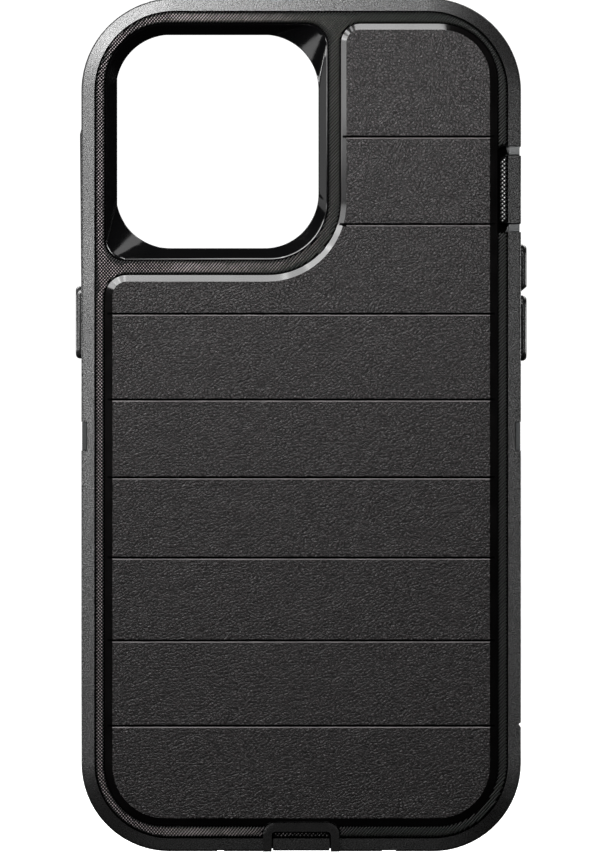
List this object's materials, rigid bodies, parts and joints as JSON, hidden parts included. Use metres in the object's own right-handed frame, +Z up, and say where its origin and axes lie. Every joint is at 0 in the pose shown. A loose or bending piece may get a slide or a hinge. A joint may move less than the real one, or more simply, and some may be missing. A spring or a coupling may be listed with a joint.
{
  "type": "phone case",
  "caption": "Rugged layered case for a 6.7-inch phone: hard shell in a rubber slipcover with a ribbed grip panel, camera window, soft buttons and hinged flaps.",
  "frame": {"origin": "middle of the bottom edge, on the surface that the case stands on", "axes": "+Z up the length of the case, +Y from its back towards the screen side, +X across it, towards the volume buttons"},
  "size_m": [0.0904, 0.0144, 0.1702],
  "materials": {
    "slipcover_rubber": "smooth matte black rubber, knurled strip",
    "panel_rubber": "matte charcoal rubber with a fine leather grain",
    "button_rubber": "smooth matte black rubber",
    "web_rubber": "thin matte black rubber",
    "shell_plastic": "satin dark grey hard plastic",
    "bezel_gloss": "gloss black hard plastic",
    "liner_foam": "dark grey foam sheet with a soft face"
  },
  "bodies": {
    "case": {"inner_back_shell": "shell_plastic", "inner_front_frame": "shell_plastic", "liner_pad": "liner_foam", "camera_bezel": "bezel_gloss", "slipcover": "slipcover_rubber", "grip_panel": "panel_rubber", "side_button_web": "web_rubber", "volume_up_web": "web_rubber", "volume_down_web": "web_rubber", "ringer_flap_hinge": "web_rubber", "port_flap_hinge": "web_rubber"},
    "side_button": {"side_button": "button_rubber"},
    "volume_up_button": {"volume_up_button": "button_rubber"},
    "volume_down_button": {"volume_down_button": "button_rubber"},
    "ringer_flap": {"ringer_flap": "slipcover_rubber"},
    "port_flap": {"port_flap": "slipcover_rubber"}
  },
  "joints": [
    {"name": "side_button_press", "type": "slide", "parent": "case", "child": "side_button", "axis": [1, 0, 0], "range_m": [0, 0.0005], "stiffness_N_per_m": 1000, "deforming": ["side_button_web"]},
    {"name": "volume_up_press", "type": "slide", "parent": "case", "child": "volume_up_button", "axis": [-1, 0, 0], "range_m": [0, 0.0005], "stiffness_N_per_m": 1000, "deforming": ["volume_up_web"]},
    {"name": "volume_down_press", "type": "slide", "parent": "case", "child": "volume_down_button", "axis": [-1, 0, 0], "range_m": [0, 0.0005], "stiffness_N_per_m": 1000, "deforming": ["volume_down_web"]},
    {"name": "ringer_flap_fold", "type": "hinge", "parent": "case", "child": "ringer_flap", "pos_m": [0.04385, 0.0039, 0.132], "axis": [0, 0, 1], "range_deg": [0, 100], "stiffness_Nm_per_rad": 0.002, "springref_deg": -17.19, "deforming": ["ringer_flap_hinge"]},
    {"name": "port_flap_fold", "type": "hinge", "parent": "case", "child": "port_flap", "pos_m": [0, 0.0039, 0.00015], "axis": [1, 0, 0], "range_deg": [0, 100], "stiffness_Nm_per_rad": 0.002, "springref_deg": -17.19, "deforming": ["port_flap_hinge"]}
  ]
}
